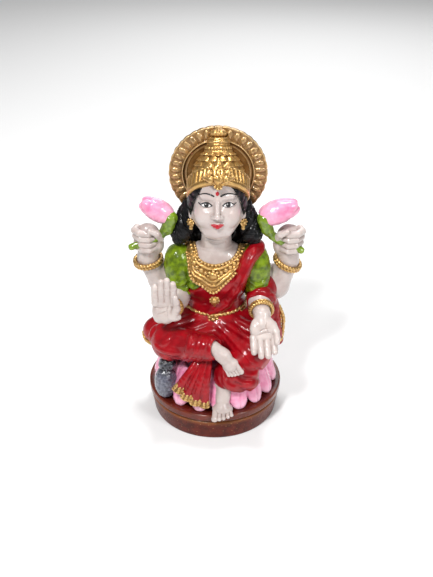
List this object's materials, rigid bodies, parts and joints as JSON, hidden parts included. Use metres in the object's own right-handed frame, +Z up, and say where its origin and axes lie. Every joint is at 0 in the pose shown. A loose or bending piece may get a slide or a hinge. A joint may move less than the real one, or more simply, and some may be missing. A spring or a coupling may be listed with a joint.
{
  "type": "seated deity statuette",
  "caption": "Cast-resin statuette of a seated four-armed goddess on a lotus and round stand, with a tall crown, a rayed halo, lotus buds and a red and gold sari.",
  "frame": {"origin": "centre of the stand's round underside", "axes": "+Z up the figure, -Y the way the figure faces, +X to the figure's own left"},
  "size_m": [0.0704, 0.0603, 0.128],
  "materials": {
    "stand_brown": "dark brown paint with fine gold specks, satin",
    "deck_lacquer": "red-brown paint under clear lacquer, gloss",
    "seat_mauve": "mauve paint, gloss",
    "petal_pink": "pink paint fading to pale edges, gloss",
    "owl_grey": "mottled grey and black paint, gloss",
    "sari_red": "deep red paint under clear lacquer, gloss",
    "gold_paint": "metallic gold paint, gloss",
    "blouse_green": "olive green paint, gloss",
    "skin_ivory": "ivory paint with a brown wash in the creases, gloss",
    "hair_black": "black paint, gloss",
    "halo_bronze": "dull bronze-gold paint with brighter edges",
    "stem_green": "dark green paint, gloss"
  },
  "bodies": {
    "root": {"plinth": "stand_brown", "deck": "deck_lacquer", "lotus_core": "seat_mauve", "outer_petals": "petal_pink", "inner_petals": "petal_pink", "owl_body": "owl_grey", "owl_head": "owl_grey", "lap": "sari_red", "right_shin_drape": "sari_red", "left_shin_drape": "sari_red", "sari_pleats": "sari_red", "pleat_border": "gold_paint", "right_foot": "skin_ivory", "left_foot": "skin_ivory", "blouse": "blouse_green", "right_sleeve": "blouse_green", "left_sleeve": "blouse_green", "sari_bodice": "sari_red", "elbow_drape": "sari_red", "hip_drape": "sari_red", "waist_belt": "gold_paint", "belt_clasp": "gold_paint", "necklace": "gold_paint", "pendant": "gold_paint", "neck": "skin_ivory", "head": "skin_ivory", "hair_cap": "hair_black", "hair_back": "hair_black", "right_hair_lock": "hair_black", "left_hair_lock": "hair_black", "right_earring": "gold_paint", "left_earring": "gold_paint", "crown_band": "gold_paint", "crown_dome": "gold_paint", "crown_tier": "gold_paint", "crown_finial": "gold_paint", "crown_crest": "gold_paint", "halo_disc": "halo_bronze", "halo_rays": "halo_bronze", "right_forearm": "skin_ivory", "right_hand": "skin_ivory", "right_bangle": "gold_paint", "left_forearm": "skin_ivory", "left_hand": "skin_ivory", "left_bangle": "gold_paint", "rear_right_arm": "skin_ivory", "rear_right_hand": "skin_ivory", "rear_right_bangle": "gold_paint", "right_stem": "stem_green", "right_bud": "petal_pink", "rear_left_arm": "skin_ivory", "rear_left_hand": "skin_ivory", "rear_left_bangle": "gold_paint", "left_stem": "stem_green", "left_bud": "petal_pink"}
  },
  "joints": []
}
